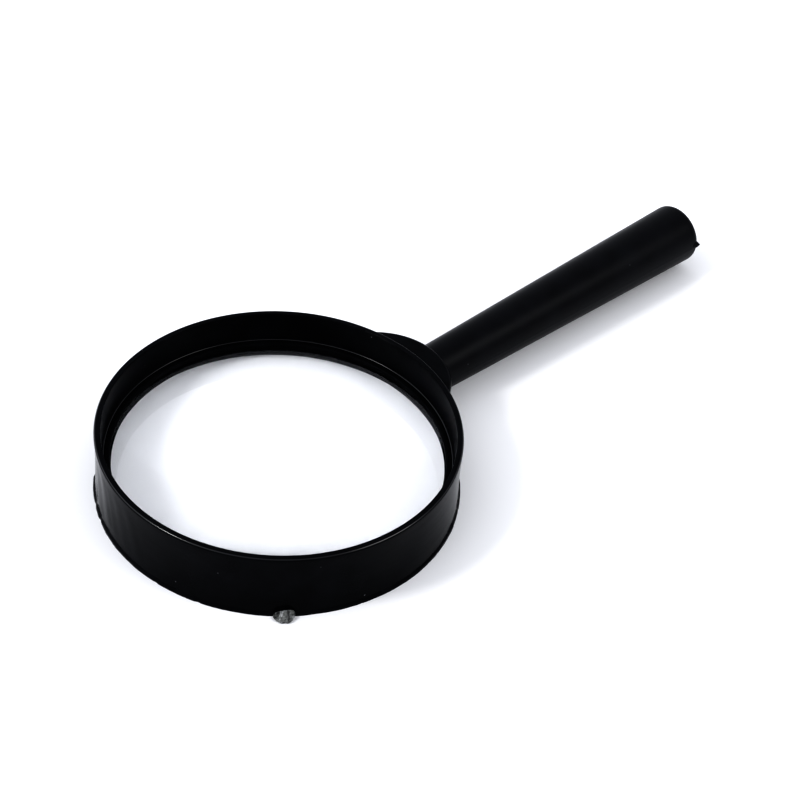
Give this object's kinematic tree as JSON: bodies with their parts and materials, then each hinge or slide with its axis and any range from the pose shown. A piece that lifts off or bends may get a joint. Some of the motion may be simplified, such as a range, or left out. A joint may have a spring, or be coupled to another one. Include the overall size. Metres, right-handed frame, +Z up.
{
  "type": "hand magnifier",
  "caption": "Hand magnifier: round black plastic lens frame with a clear biconvex lens and a straight tapered handle.",
  "frame": {"origin": "middle of the footprint, on the surface that the frame lies on", "axes": "+X from the lens along the handle, +Z up along the lens axis"},
  "size_m": [0.1429, 0.068, 0.0137],
  "materials": {
    "frame_plastic": "glossy moulded black plastic",
    "lens_glass": "polished clear",
    "retainer_plastic": "glossy moulded black plastic",
    "handle_plastic": "satin moulded black plastic"
  },
  "bodies": {
    "root": {"lens_frame": "frame_plastic", "lens": "lens_glass", "lens_retaining_ring": "retainer_plastic", "handle": "handle_plastic"}
  },
  "joints": []
}
